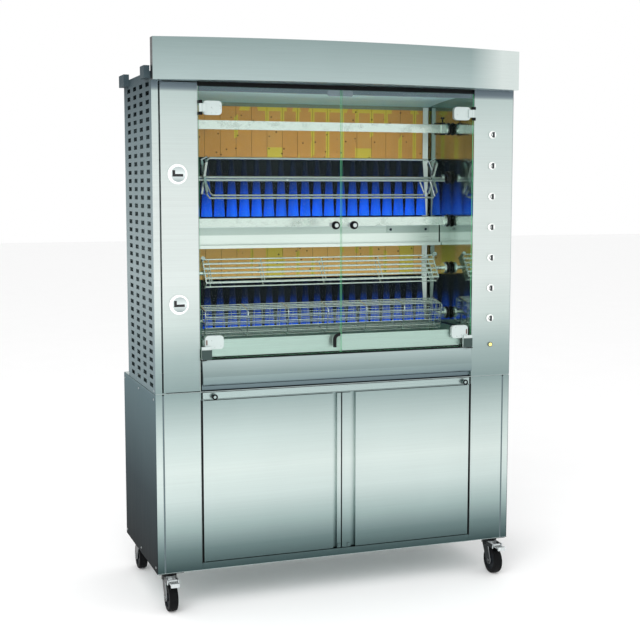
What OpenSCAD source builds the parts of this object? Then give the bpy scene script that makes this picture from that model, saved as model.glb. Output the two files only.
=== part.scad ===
// Floor-standing gas rotisserie: five stacked spits behind two glass doors, on a cabinet with casters.
// Units are millimetres, +Z is up, -Y is the front, and the origin is on the floor under the centre.

/* [Cabinet] */
// width over the side panels
body_w = 1380; // [1200:10:1500]
// depth of the base cabinet
base_d = 568; // [500:1:650]
// depth of the oven housing above it
upper_d = 470; // [450:1:560]
// height of the cabinet's underside above the floor
cab_z = 138; // [120:1:170]
// height of the seam between base and oven
seam_z = 779; // [700:1:850]
// height of the housing's top sheet
roof_z = 1885; // [1800:1:1950]
// sheet thickness of panels and doors
sheet = 1.5; // [1:0.1:2.5]

/* [Canopy] */
// height of the canopy's lower edge
canopy_z = 1854; // [1780:1:1900]
// height of the canopy's top edge, the overall height
total_h = 1995; // [1900:1:2100]
// how far the canopy stands in front of the columns at its ends
canopy_end_out = 38; // [20:1:60]
// how far it stands out in the middle
canopy_mid_out = 118; // [80:1:150]

/* [Oven] */
// width of the window opening between the columns
window_w = 1054; // [900:2:1200]
// distance of the fire bricks behind the front face
brick_y = 400; // [340:1:430]
// distance of the spits behind the front face
spit_y = 200; // [150:1:240]
// heights of the five spits, top to bottom
spit_z = [1719, 1533, 1366, 1183, 1007];
// lower and upper ends of the two brick rows
brick_rows = [[1610, 1818], [1145, 1265]];
// lower and upper ends of the two fluted burner plates
flute_rows = [[1380, 1608], [920, 1143]];
// flutes across one burner plate
flute_count = 21; // [15:1:27]
// bricks across one row
brick_count = 17; // [12:1:24]

/* [Glass doors] */
// lower edge of the glass
glass_z0 = 898; // [880:1:920]
// upper edge of the glass
glass_z1 = 1838; // [1800:1:1850]
// glass thickness
glass_t = 6; // [4:0.5:8]
// height of the two ball knobs
ball_z = 1360; // [1200:1:1500]

/* [Controls] */
// height of the top control knob
knob_top_z = 1690; // [1600:1:1750]
// spacing of the seven control knobs
knob_pitch = 114.8; // [90:0.1:130]
// sideways position of the control knobs
knob_x = 602; // [560:1:650]
// height of the pilot lamp
lamp_z = 900; // [850:1:950]
// heights of the two latches on the left column
latch_z = [1539, 1091];

/* [Louvred sides] */
// columns of louvre openings on one side
louvre_cols = 4; // [2:1:6]
// rows of louvre openings
louvre_rows = 36; // [20:1:40]
// width of one opening
louvre_w = 58; // [30:1:70]
// height of one opening
louvre_h = 15; // [8:1:20]

/* [Casters] */
// wheel radius
wheel_r = 50; // [40:1:62]
// wheel width
wheel_w = 32; // [25:1:40]
// distance of the axle behind the swivel axis
trail = 32; // [20:1:40]
// sideways position of the swivel axes
caster_x = 640; // [600:1:650]
// front and rear positions of the swivel axes behind the front face
caster_y = [45, 505];

/* [Hidden] */
half_w = body_w / 2;
win = window_w / 2;
inlet_len = 24;
rear_out = base_d + inlet_len;
front_y = (canopy_mid_out - rear_out) / 2;
running = 0.05;
pin_r = 3;
wall_back_y = 438;
spit_end = 500;
glass_y = 2;
glass_gap = 2.5;
glass_edge = win - 3;
pivot_x = win - 8;
pivot_y = -6;
strip_w = 25;
door_x = -659;
door_pin = [-656, 5];
latch_x = -602;
base_door_x = 520;
base_pin = [516, 5];
base_door_z = [168, 748];
shelf_z = [754, 777];
service_z = 300;
inlet_x = 560;
gland_x = 480;

steel = "#c3cccb";
bright = "#e6ebea";
dark_steel = "#59636a";
black = "#1d2022";
brick = "#b58a45";
enamel = "#16306e";
glass_green = "#a9cfc0";
amber = "#e9b93a";
zinc = "#b9bec2";
rubber = "#202122";

// ---------- helpers ----------

// moves a piece from front-face coordinates (y = 0 on the columns' face) into the row frame
module at_front() translate([0, front_y, 0]) children();

// a box from its limits
module slab(x, y, z) translate([x[0], y[0], z[0]]) cube([x[1] - x[0], y[1] - y[0], z[1] - z[0]]);

// a piece and its mirror image on the other side
module both_sides() {
    children();
    mirror([1, 0, 0]) children();
}

// a piece for one side only: side is -1 for left and 1 for right
module on_side(side) mirror([side < 0 ? 1 : 0, 0, 0]) children();

// a round bar along Y from y[0] to y[1]
module rod_y(x, z, r, y) translate([x, y[0], z]) rotate([-90, 0, 0]) cylinder(h = y[1] - y[0], r = r);

// a round bar along X from x[0] to x[1]
module rod_x(y, z, r, x) translate([x[0], y, z]) rotate([0, 90, 0]) cylinder(h = x[1] - x[0], r = r);

// a round bar along Z from z[0] to z[1]
module rod_z(x, y, r, z) translate([x, y, z[0]]) cylinder(h = z[1] - z[0], r = r);

// a flat profile drawn in Y and Z, extruded along X from x[0] to x[1]
module along_x(x) translate([x[0], 0, 0]) rotate([90, 0, 90]) linear_extrude(x[1] - x[0]) children();

// a flat profile drawn in X and Z, extruded along Y from y[0] to y[1]
module along_y(y) translate([0, y[1], 0]) rotate([90, 0, 0]) linear_extrude(y[1] - y[0]) children();

// a rectangle with four rounded corners
module round_rect(x, z, r) {
    translate([x[0] + r, z[0]]) square([x[1] - x[0] - 2 * r, z[1] - z[0]]);
    translate([x[0], z[0] + r]) square([x[1] - x[0], z[1] - z[0] - 2 * r]);
    for (cx = [x[0] + r, x[1] - r], cz = [z[0] + r, z[1] - r]) translate([cx, cz]) circle(r);
}

// ---------- base cabinet ----------

// two side panels and the back panel
module base_shell() color(steel) at_front() {
    both_sides() slab([half_w - sheet, half_w], [0, base_d], [cab_z, seam_z]);
    difference() {
        slab([-half_w + 2, half_w - 2], [base_d - sheet, base_d], [cab_z, seam_z]);
        rod_y(inlet_x, service_z, 10.8, [base_d - 5, base_d + 5]);
        rod_y(gland_x, service_z, 12.2, [base_d - 5, base_d + 5]);
    }
}

// floor sheet that carries the casters
module base_floor() color(steel) at_front() {
    slab([-half_w + 2, half_w - 2], [2, base_d - 2], [cab_z, cab_z + 2]);
}

// front strips beside the doors, the bottom rail and the top rail with the door pivot holes
module base_front() color(steel) at_front() {
    both_sides() {
        slab([half_w - strip_w, half_w - 1.7], [0, sheet], [cab_z + 2.2, seam_z]);
        slab([half_w - strip_w, half_w - strip_w + sheet], [sheet, 25], [cab_z + 2.2, seam_z]);
        slab([win, -door_x], [0, sheet], [cab_z + 2.2, seam_z]);
        slab([win, win + sheet], [sheet, 25], [cab_z + 2.2, seam_z]);
        slab([-door_x - sheet, -door_x], [sheet, 25], [cab_z + 2.2, seam_z]);
    }
    difference() {
        union() {
            slab([-win + 0.5, win - 0.5], [0, sheet], [cab_z + 2.2, 165]);
            slab([-win + 0.5, win - 0.5], [sheet, 30], [163.5, 165]);
        }
        both_sides() rod_z(base_pin[0], base_pin[1], pin_r + running, [160, 170]);
    }
    difference() {
        slab([-win + 0.5, win - 0.5], [1, 30], [750.5, 752.5]);
        both_sides() rod_z(base_pin[0], base_pin[1], pin_r + running, [745, 755]);
    }
}

// sheet between base and oven, with the two runners of the pull-out shelf below it
module deck() color(steel) at_front() {
    slab([-half_w + 2, half_w - 2], [2, base_d - 2], [seam_z, seam_z + 2]);
    both_sides() {
        slab([522, 524], [32, 540], [751, seam_z]);
        slab([508, 522], [32, 540], [751, 753]);
    }
}

// pull-out shelf: folded pan with two small knobs on its front
module pull_shelf() {
    color(bright) at_front() {
        slab([-520, 520], [0, 470], [shelf_z[1] - sheet, shelf_z[1]]);
        slab([-520, 520], [0, sheet], [shelf_z[0], shelf_z[1]]);
        both_sides() slab([520 - sheet, 520], [sheet, 470], [shelf_z[0], shelf_z[1]]);
        for (x = [-480, 497]) {
            rod_y(x, 762, 4, [-8, 0]);
            rod_y(x, 762, 8, [-16, -8]);
        }
    }
}

// one base door: folded pan with a vertical grip channel beside its free edge
module base_door(side) {
    grip = side < 0 ? [16, 31] : [38, 57];
    free = side < 0 ? 1 : 4;
    back = 20;
    color(steel) at_front() on_side(side) {
        difference() {
            union() {
                slab([free, grip[0]], [0, sheet], base_door_z);
                slab([grip[1], base_door_x], [0, sheet], base_door_z);
                slab([free, free + sheet], [sheet, back], base_door_z);
                slab([base_door_x - sheet, base_door_x], [sheet, back], base_door_z);
                slab([grip[0] - sheet, grip[0]], [sheet, 14], base_door_z);
                slab([grip[1], grip[1] + sheet], [sheet, 14], base_door_z);
                slab([grip[0] - sheet, grip[1] + sheet], [14, 14 + sheet], base_door_z);
                for (z = [base_door_z[0], base_door_z[1] - sheet])
                    slab([free, base_door_x], [sheet, back], [z, z + sheet]);
            }
            slab([grip[0], grip[1]], [-1, 14], [base_door_z[0] - 1, base_door_z[1] + 1]);
        }
        rod_z(base_pin[0], base_pin[1], pin_r, [163.8, 180]);
        rod_z(base_pin[0], base_pin[1], pin_r, [736, 752.2]);
        slab([grip[0] - 14, grip[0] - 2], [-2.5, 0], [base_door_z[0] + 3, base_door_z[0] + 15]);
    }
}

// ---------- oven housing ----------

// polished inner walls, back, arched roof and floor of the oven
module oven_liner() color(bright) at_front() {
    roof_r = 2600;
    difference() {
        both_sides() slab([win, win + sheet], [1.7, wall_back_y], [seam_z + 2.5, 1840]);
        for (z = spit_z) rod_x(spit_y, z, 12.2, [-win - 5, win + 5]);
    }
    slab([-win - sheet, win + sheet], [wall_back_y + 0.2, wall_back_y + 1.7], [seam_z + 2.5, 1840]);
    along_x([-win + 0.5, win - 0.5]) intersection() {
        translate([60, 1838 - roof_r]) difference() {
            circle(roof_r);
            circle(roof_r - sheet);
        }
        translate([15, 1700]) square([brick_y - 17, 200]);
    }
    slab([-win + 0.5, win - 0.5], [15, wall_back_y], [884, 884 + sheet]);
}

// narrow strip at the left front edge, with the two tabs the access door turns on
module corner_strip() color(steel) at_front() {
    slab([-half_w + 1.7, -half_w + strip_w], [0, sheet], [seam_z + 2.5, roof_z - 2]);
    slab([-half_w + strip_w - sheet, -half_w + strip_w], [sheet, 25], [seam_z + 2.5, roof_z - 2]);
    for (z = [seam_z + 2.5, 1851.5]) difference() {
        slab([-half_w + strip_w - sheet, -650], [sheet, 12], [z, z + 2]);
        rod_z(door_pin[0], door_pin[1], pin_r + running, [z - 1, z + 3]);
    }
}

// access door in the left column
module access_door() color(steel) at_front() {
    difference() {
        slab([door_x, -529.5], [0, sheet], [784.5, 1850]);
        for (z = latch_z) rod_y(latch_x, z, 9 + running, [-2, 5]);
    }
    for (x = [door_x, -531]) slab([x, x + sheet], [sheet, 8], [784.5, 1850]);
    rod_z(door_pin[0], door_pin[1], pin_r, [782, 800]);
    rod_z(door_pin[0], door_pin[1], pin_r, [1836, 1853]);
}

// quarter-turn latch: disc with an L-shaped finger recess, shaft and cam
module latch(z) color(bright) at_front() {
    difference() {
        rod_y(latch_x, z, 34, [-5, -0.4]);
        slab([latch_x - 18, latch_x + 20], [-6, -2.5], [z - 8, z + 1]);
        slab([latch_x - 18, latch_x - 8], [-6, -2.5], [z + 0.9, z + 14]);
    }
    rod_y(latch_x, z, 9, [-0.5, 15]);
    slab([latch_x, latch_x + 40], [12, 15], [z - 7, z + 7]);
}

// control panel on the right column
module control_panel() color(steel) at_front() {
    difference() {
        slab([win, half_w - 1.7], [0, sheet], [seam_z + 2.5, roof_z - 2]);
        for (i = [0:6]) rod_y(knob_x, knob_top_z - i * knob_pitch, 5, [-2, 5]);
        rod_y(knob_x + 4, lamp_z, 7.2, [-2, 5]);
    }
}

// rotary control knob number i, counted from the top
module knob(i) color(bright) at_front() {
    z = knob_top_z - i * knob_pitch;
    rod_y(knob_x, z, 14, [-6, -0.4]);
    rod_y(knob_x, z, 11, [-9, -6]);
    slab([knob_x - 3, knob_x + 3], [-16, -9], [z - 10.5, z + 10.5]);
    rod_y(knob_x, z, pin_r, [-0.5, 20]);
}

// switch bodies behind the control panel
module switch_bodies() color(black) at_front() {
    for (i = [0:6]) translate([knob_x, 0, knob_top_z - i * knob_pitch]) difference() {
        slab([-14, 14], [sheet + 0.1, 34], [-14, 14]);
        rod_y(0, 0, pin_r + running, [0, 22]);
    }
}

// amber pilot lamp
module pilot_lamp() color(amber) at_front() {
    rod_y(knob_x + 4, lamp_z, 9, [-4, 0]);
    rod_y(knob_x + 4, lamp_z, 7, [0, 22]);
}

// louvred side covers with two lifting pockets on each
module side_covers() color(dark_steel) at_front() both_sides() {
    pitch_y = 108;
    pitch_z = 29.6;
    pocket_out = 20;
    pocket_z = 1862;
    along_x([half_w - sheet, half_w]) difference() {
        translate([0, seam_z + 2.5]) square([upper_d, roof_z - seam_z - 2.5]);
        for (c = [0:louvre_cols - 1], r = [0:louvre_rows - 1])
            translate([28 + c * pitch_y, 800 + r * pitch_z]) square([louvre_w, louvre_h]);
    }
    for (y = [[12, 76], [upper_d - 100, upper_d - 8]]) difference() {
        slab([half_w, half_w + pocket_out], y, [pocket_z, pocket_z + 42]);
        slab([half_w - 1, half_w + pocket_out - 2], [y[0] + 2, y[1] - 2], [pocket_z + 2, pocket_z + 43]);
    }
}

// plain rear cover
module rear_cover() color(steel) at_front() {
    slab([-half_w + 2, half_w - 2], [upper_d - sheet, upper_d], [seam_z + 2.5, roof_z]);
}

// top sheet with a row of flue slots
module top_cover() color(steel) at_front() difference() {
    slab([-half_w + 2, half_w - 2], [2, upper_d - 2], [roof_z - sheet, roof_z]);
    for (i = [-4:4]) slab([i * 120 - 45, i * 120 + 45], [400, 414], [roof_z - 5, roof_z + 5]);
}

// folded sheet above the window, behind the canopy, with the magnet tab of the glass doors
module lintel() color(dark_steel) at_front() {
    slab([-half_w + strip_w + 1, win - 0.5], [0, sheet], [canopy_z + 1.7, roof_z - 2]);
    slab([-win + 0.5, win - 0.5], [0, 12], [canopy_z + 0.2, canopy_z + 1.7]);
    slab([-win + 0.5, win - 0.5], [10.5, 12], [1823, canopy_z + 0.2]);
    along_y([9, 12]) round_rect([-51, 47], [1818, 1838], 8);
}

// plan of the canopy: a shallow arc in front of the columns, made smaller all round by inset
module canopy_plan(inset) {
    rise = canopy_mid_out - canopy_end_out;
    arc_r = (half_w * half_w + rise * rise) / (2 * rise);
    intersection() {
        translate([0, arc_r - canopy_mid_out]) circle(arc_r - inset);
        translate([-half_w + inset, -canopy_mid_out]) square([body_w - 2 * inset, canopy_mid_out]);
    }
}

// curved canopy: front sheet arched in plan, end caps, top and bottom flanges
module canopy() color(steel) at_front() {
    lip = 30;
    translate([0, 0, canopy_z]) linear_extrude(total_h - canopy_z) difference() {
        canopy_plan(0);
        canopy_plan(sheet);
    }
    translate([0, 0, total_h - sheet]) linear_extrude(sheet) difference() {
        canopy_plan(0);
        canopy_plan(lip);
    }
    translate([0, 0, canopy_z]) linear_extrude(sheet) canopy_plan(0);
    slab([-half_w, half_w], [-sheet, 0], [canopy_z, roof_z + 20]);
}

// sloping apron below the window with its rolled lower edge and its upright back
module apron() color(steel) at_front() along_x([-520, win - 0.5]) {
    translate([12.5, seam_z + 2.2]) square([sheet, 890 - seam_z - 2.2]);
    difference() {
        union() {
            polygon([[14, 891], [2, 891], [-8, 832], [-8, 811], [14, 811]]);
            translate([3, 811]) circle(11);
        }
        polygon([[15, 889.5], [3.3, 889.5], [-6.5, 831.9], [-6.5, 811], [15, 811]]);
        translate([3, 811]) circle(9.5);
        translate([3, 795]) square([20, 20]);
    }
}

// ---------- fire side ----------

// rows of separate fire bricks
module fire_bricks() color(brick) at_front() {
    pitch = (window_w - 3) / brick_count;
    for (row = brick_rows, i = [0:brick_count - 1])
        translate([-win + 2 + i * pitch, 0, 0]) slab([0, pitch - 1], [brick_y, wall_back_y], row);
}

// enamelled burner plates with tapered flutes
module burner_plates() color(enamel) at_front() {
    pitch = 49.5;
    for (row = flute_rows) {
        slab([-win + 2, win - 2], [brick_y, brick_y + 2], row);
        for (z = [row[0], row[1] - 2]) slab([-win + 2, win - 2], [brick_y + 2, wall_back_y], [z, z + 2]);
        difference() {
            for (i = [0:flute_count - 1])
                translate([(i - (flute_count - 1) / 2) * pitch, brick_y + 1, row[0] + 4])
                    cylinder(h = row[1] - row[0] - 8, r1 = 22, r2 = 8);
            slab([-win, win], [brick_y + 1, brick_y + 40], row);
        }
    }
}

// gas burner tubes in front of the plates
module burner_tubes() color(zinc) at_front() {
    rod_x(368, 1368, 12, [-518, 518]);
    rod_x(368, 908, 12, [-518, 518]);
}

// middle housing below the upper burner, with its drip lip and a bracket
module mid_tray() color(bright) at_front() {
    slab([-win + 3, win - 3], [290, 290 + sheet], [1268, 1353.5]);
    for (z = [1268, 1352]) slab([-win + 3, win - 3], [290, brick_y - 2], [z, z + sheet]);
    slab([-win + 3, win - 3], [272, 290], [1268, 1268 + sheet]);
    slab([-win + 3, win - 3], [272, 272 + sheet], [1268, 1280]);
    slab([300, 480], [287, 290], [1318, 1344]);
    for (x = [315, 465]) rod_y(x, 1331, 5, [284, 287]);
}

// drip tray on the oven floor
module drip_tray() color(bright) at_front() difference() {
    slab([-515, 515], [16, 350], [886, 962]);
    slab([-515 + sheet, 515 - sheet], [16 + sheet, 350 - sheet], [886 + sheet, 970]);
}

// ---------- spits ----------

// bushes in the left wall that carry the spits' plain ends
module spit_bearings() color(black) at_front() for (z = spit_z) difference() {
    union() {
        rod_x(spit_y, z, 20, [-win, -win + 5]);
        rod_x(spit_y, z, 12, [-win - 6, -win]);
    }
    rod_x(spit_y, z, 6 + running, [-win - 8, -win + 8]);
}

// gear motors behind the right wall
module spit_motors() color(dark_steel) at_front() for (z = spit_z) difference() {
    union() {
        slab([win + 1.7, 600], [spit_y - 35, spit_y + 35], [z - 32, z + 32]);
        rod_x(spit_y, z, 27, [600, 650]);
    }
    rod_x(spit_y, z, 7 + running, [win, 552]);
}

// plain pin on the left, black coupling and drive shaft on the right
module spit_ends() {
    rod_x(0, 0, 6, [-win - 5, -spit_end]);
    rod_x(0, 0, 10, [-spit_end - 12, -spit_end]);
    rod_x(0, 0, 21, [spit_end, spit_end + 8]);
    rod_x(0, 0, 15, [spit_end + 8, spit_end + 20]);
    rod_x(0, 0, 7, [spit_end + 20, 550]);
}

// puts a spit on its own turning axis
module on_spit(i) at_front() translate([0, spit_y, spit_z[i]]) children();

// thumb screw pointing away from the axis
module thumb_screw() {
    cylinder(h = 14, r = 3);
    translate([0, 0, 14]) cylinder(h = 6, r = 8);
}

// angle bar spit with a two-pronged fork near its driven end
module bar_spit(i, fork) color(bright) on_spit(i) {
    slab([-spit_end, spit_end], [-10, -7.5], [-16, 16]);
    slab([-spit_end, spit_end], [-7.5, 12], [-16, -13.5]);
    for (x = [-spit_end, spit_end - 4]) slab([x, x + 4], [-10, 12], [-16, 16]);
    spit_ends();
    if (fork) {
        slab([482, 497], [-15, 4], [-24, 24]);
        for (z = [-20, 20]) rod_x(-12, z, 2.5, [452, 482]);
        translate([489.5, -6, 24]) thumb_screw();
    }
}

// clamp spit: rods held between crossed arms, with thumb screws
module clamp_spit() color(bright) on_spit(1) {
    for (x = [-462, 456]) {
        slab([x, x + 6], [-12, 12], [-84, 74]);
        for (a = [-32, 32]) translate([x + 1, 0, 0]) rotate([a, 0, 0]) slab([0, 4], [-7, 7], [-70, 60]);
    }
    rod_x(0, 67, 4, [-460, 460]);
    for (y = [-6.5, 6.5]) {
        rod_x(y, -7, 4.5, [-spit_end, spit_end]);
        rod_x(y, -77, 3.5, [-460, 460]);
    }
    for (x = [-430, 430]) {
        slab([x - 8, x + 8], [-13, 13], [-14, 3]);
        translate([x, 0, 2]) thumb_screw();
    }
    for (x = [-spit_end, spit_end - 4]) slab([x, x + 4], [-15, 15], [-15, 12]);
    spit_ends();
}

// flat basket: two tilted grids of rods with cross wires, held by end plates
module flat_basket() color(bright) on_spit(3) {
    rotate([55, 0, 0]) {
        for (z = [-14, 14]) {
            for (k = [-2.5:2.5]) rod_x(k * 20, z, 2.5, [-462, 462]);
            for (x = [-440, -240, 0, 230, 440]) rod_y(x, z, 2, [-52, 52]);
        }
        for (x = [-464, 460]) slab([x, x + 4], [-54, 54], [-18, 18]);
        for (x = [-464, 464]) translate([x, 42, 17]) thumb_screw();
    }
    for (x = [[-spit_end, -460], [460, spit_end]]) rod_x(0, 0, 7, x);
    spit_ends();
}

// square hoop of the mesh basket
module hoop(half, r) difference() {
    round_rect([-half - r, half + r], [-half - r, half + r], 14 + r);
    round_rect([-half + r, half - r], [-half + r, half - r], 14 - r);
}

// mesh basket's frame: long rods on a rounded section, square hoops and end plates
module mesh_basket() color(bright) on_spit(4) {
    half = 50;
    rotate([12, 0, 0]) {
        for (y = [-half, half], z = [-30, -10, 10, 30]) rod_x(y, z, 1.6, [-470, 470]);
        for (z = [-half, half], y = [-30, -10, 10, 30]) rod_x(y, z, 1.6, [-470, 470]);
        for (x = [-472, -312, -156, 0, 156, 312, 469]) along_x([x, x + 3]) hoop(half, 2);
        for (x = [-472, 469]) along_x([x, x + 3]) for (a = [0, 90])
            rotate([0, 0, a]) translate([-half, -6]) square([2 * half, 12]);
    }
    for (x = [[-spit_end, -470], [470, spit_end]]) rod_x(0, 0, 7, x);
    spit_ends();
}

// ---------- glass doors ----------

// heights of the lower ends of the two clamps
clamp_z = [930, 1742];
clamp_h = 48;
clamp_x = [443, 510];

// one glass pane with the holes for its clamps and knob
module glass_pane(side) color(glass_green, 0.35) at_front() on_side(side) difference() {
    slab([glass_gap, glass_edge], [glass_y, glass_y + glass_t], [glass_z0, glass_z1]);
    for (z = clamp_z, x = [462, 492]) rod_y(x, z + clamp_h / 2, 6.2, [0, 12]);
    rod_y(35, ball_z, 4.2, [0, 12]);
}

// clamps, hinge knuckle, lower pivot shoe and ball knob of one glass door
module glass_fittings(side) color(bright) at_front() on_side(side) {
    for (z = clamp_z) {
        for (y = [[-3, glass_y], [glass_y + glass_t, 12]])
            along_y(y) round_rect(clamp_x, [z, z + clamp_h], 13);
        for (x = [462, 492]) rod_y(x, z + clamp_h / 2, 6, [0, 10]);
    }
    difference() {
        union() {
            rod_z(pivot_x, pivot_y, 6.5, [1752, 1780]);
            slab([500, pivot_x], [-9, -3], [1752, 1780]);
            slab([490, glass_edge], [-12, glass_y - 0.2], [894.6, 940]);
        }
        rod_z(pivot_x, pivot_y, pin_r + running, [1750, 1782]);
        rod_z(pivot_x, pivot_y, pin_r + running, [890, 908]);
    }
    rod_y(35, ball_z, 4, [-26, 11]);
    rod_y(35, ball_z, 9, [-2, glass_y]);
    rod_y(35, ball_z, 8, [glass_y + glass_t, 12]);
    translate([35, -34, ball_z]) sphere(13);
}

// hinge ears and pins on the columns, and the lower pivot plates
module hinge_blocks() color(black) at_front() both_sides() {
    for (z = [[1741, 1751.5], [1780.5, 1791]]) {
        slab([514.2, win], [-12, -0.6], z);
        slab([win - 1.7, win], [-0.7, 12], z);
    }
    rod_z(pivot_x, pivot_y, pin_r, [1745, 1787]);
    slab([508, win], [-13, 10], [891.2, 894.2]);
    rod_z(pivot_x, pivot_y, pin_r, [892, 905]);
}

// black hook on the left pane's lower corner
module door_hook() color(black) at_front() {
    slab([-33, -13], [-4, glass_y], [917, 966]);
    slab([-33, -26], [-14, -4], [917, 930]);
}

// ---------- casters and services ----------

// swivel centre of caster number i: front left, front right, rear left, rear right
function caster_at(i) = [i % 2 == 0 ? -caster_x : caster_x, caster_y[floor(i / 2)]];

// places a caster piece, trailing forward at the front and backward at the rear
module at_caster(i) at_front() translate([caster_at(i)[0], caster_at(i)[1], 0])
    mirror([0, i < 2 ? 0 : 1, 0]) children();

// mounting plates with their raceways and king pins
module caster_plates() color(zinc) for (i = [0:3]) at_caster(i) {
    slab([-45, 45], [-42, 42], [cab_z - 2.5, cab_z]);
    rod_z(0, 0, 28, [123, cab_z - 2.5]);
    rod_z(0, 0, 6, [107, 123]);
}

// swivel fork with its axle; the front ones carry a brake arm
module caster_fork(i) color(zinc) at_caster(i) {
    cheek_x = wheel_w / 2 + 2;
    difference() {
        union() {
            rod_z(0, 0, 27, [108, 122.5]);
            slab([-cheek_x - 3.5, cheek_x + 3.5], [-24, 24], [108, 121]);
        }
        rod_z(0, 0, 6 + running, [100, 124]);
    }
    both_sides() along_x([cheek_x, cheek_x + 3.5]) {
        polygon([[24, 121], [-24, 121], [-46, 54], [-20, 40]]);
        translate([-trail, wheel_r]) circle(15);
        if (i < 2) translate([-66, 104]) square([46, 17]);
    }
    rod_x(-trail, wheel_r, 5, [-cheek_x - 6, cheek_x + 6]);
    if (i < 2) rod_x(-58, 113, pin_r, [-cheek_x - 3, cheek_x + 3]);
}

// wheel with hub, rounded tyre edges and axle bore
module wheel(i) color(rubber) at_caster(i) translate([-wheel_w / 2, -trail, wheel_r]) rotate([0, 90, 0])
    rotate_extrude() difference() {
        union() {
            translate([5 + running, 0]) square([wheel_r - 9 - running, wheel_w]);
            translate([5 + running, 4]) square([wheel_r - 5 - running, wheel_w - 8]);
            for (z = [4, wheel_w - 4]) translate([wheel_r - 4, z]) circle(4);
        }
        for (z = [-1, wheel_w - 5]) translate([15, z]) square([20, 6]);
    }

// brake pedal
module brake_pedal(i) color(black) at_caster(i) difference() {
    union() {
        rod_x(-58, 113, 7, [-16, 16]);
        slab([-15, 15], [-100, -58], [110, 116]);
        slab([-15, 15], [-104, -96], [104, 118]);
    }
    rod_x(-58, 113, pin_r + running, [-20, 20]);
}

// threaded gas inlet on the base's back panel
module gas_inlet() color("#b08d4a") at_front() {
    rod_y(inlet_x, service_z, 10.5, [540, rear_out]);
    rod_y(inlet_x, service_z, 20, [base_d, base_d + 4]);
}

// cable gland beside it, with an open bore
module cable_gland() color(black) at_front() difference() {
    union() {
        rod_y(gland_x, service_z, 12, [552, base_d]);
        translate([gland_x, base_d, service_z]) rotate([-90, 0, 0]) cylinder(h = 7, r = 18, $fn = 6);
        rod_y(gland_x, service_z, 13, [base_d + 7, base_d + 18]);
    }
    rod_y(gland_x, service_z, 8, [550, base_d + 20]);
}

// screw heads on the side panels
module screws() color(bright) at_front() both_sides() {
    for (y = [22, 280, 545], z = [158, 760]) rod_x(y, z, 4, [half_w, half_w + 1.6]);
    for (y = [12, upper_d - 12], z = [792, 1330]) rod_x(y, z, 3.5, [half_w, half_w + 1.4]);
}

base_shell();
base_floor();
base_front();
deck();
pull_shelf();
base_door(-1);  // base_door_left
base_door(1);  // base_door_right
oven_liner();
corner_strip();
access_door();
latch(latch_z[0]);  // latch_upper
latch(latch_z[1]);  // latch_lower
control_panel();
knob(0);  // knob_1
knob(1);  // knob_2
knob(2);  // knob_3
knob(3);  // knob_4
knob(4);  // knob_5
knob(5);  // knob_6
knob(6);  // knob_7
switch_bodies();
pilot_lamp();
side_covers();
rear_cover();
top_cover();
lintel();
canopy();
apron();
fire_bricks();
burner_plates();
burner_tubes();
mid_tray();
drip_tray();
spit_bearings();
spit_motors();
bar_spit(0, true);  // spit_1
clamp_spit();  // spit_2
bar_spit(2, false);  // spit_3
flat_basket();  // spit_4
mesh_basket();  // spit_5
glass_pane(-1);  // glass_left
glass_pane(1);  // glass_right
glass_fittings(-1);  // fittings_left
glass_fittings(1);  // fittings_right
hinge_blocks();
screws();
door_hook();
caster_plates();
caster_fork(0);  // fork_fl
caster_fork(1);  // fork_fr
caster_fork(2);  // fork_rl
caster_fork(3);  // fork_rr
wheel(0);  // wheel_fl
wheel(1);  // wheel_fr
wheel(2);  // wheel_rl
wheel(3);  // wheel_rr
brake_pedal(0);  // pedal_fl
brake_pedal(1);  // pedal_fr
gas_inlet();
cable_gland();
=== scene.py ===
"""Looks of the floor-standing gas rotisserie: materials, fine pieces, light, camera. Metres."""

import math

import bmesh
import bpy
from mathutils import Matrix, Vector


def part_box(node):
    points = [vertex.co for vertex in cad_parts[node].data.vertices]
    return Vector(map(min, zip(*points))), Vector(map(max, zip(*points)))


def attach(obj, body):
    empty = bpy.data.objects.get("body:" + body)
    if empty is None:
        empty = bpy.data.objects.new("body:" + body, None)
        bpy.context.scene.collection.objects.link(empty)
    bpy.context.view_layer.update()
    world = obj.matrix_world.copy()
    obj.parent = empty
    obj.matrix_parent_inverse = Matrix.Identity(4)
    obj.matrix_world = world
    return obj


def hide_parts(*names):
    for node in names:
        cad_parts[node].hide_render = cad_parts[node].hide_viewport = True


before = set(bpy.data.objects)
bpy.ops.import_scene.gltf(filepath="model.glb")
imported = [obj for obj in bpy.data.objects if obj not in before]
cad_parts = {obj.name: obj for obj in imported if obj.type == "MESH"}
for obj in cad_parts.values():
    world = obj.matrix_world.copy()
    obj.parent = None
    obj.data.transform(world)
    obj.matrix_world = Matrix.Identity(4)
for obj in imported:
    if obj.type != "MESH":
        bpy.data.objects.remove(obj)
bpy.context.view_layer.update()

SIDES = (("left", -1), ("right", 1))
# The columns' front face in the row frame; everything in depth is measured from it.
FRONT_Y = -0.237
# Half the width of the oven's window.
WINDOW = 0.527
# The joint between a corner strip and its post, measured from the middle plane.
POST_SEAM = (0.6594, 0.6646)
SPIT_Y = FRONT_Y + 0.200
SPIT_Z = [1.719, 1.533, 1.366, 1.183, 1.007]
FORKED_SPITS = (1, 3)
BRICK_Y = FRONT_Y + 0.400
BRICK_PITCH = 1.051 / 17
FLUTE_FEET = [1.380, 0.920]


# ---------------------------------------------------------------- material graph helpers

def srgb(r, g, b, a=1.0):
    """A colour given as 0-255 display values, in the linear values that nodes expect."""
    def channel(v):
        v /= 255.0
        return v / 12.92 if v <= 0.04045 else ((v + 0.055) / 1.055) ** 2.4
    return (channel(r), channel(g), channel(b), a)


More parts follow.
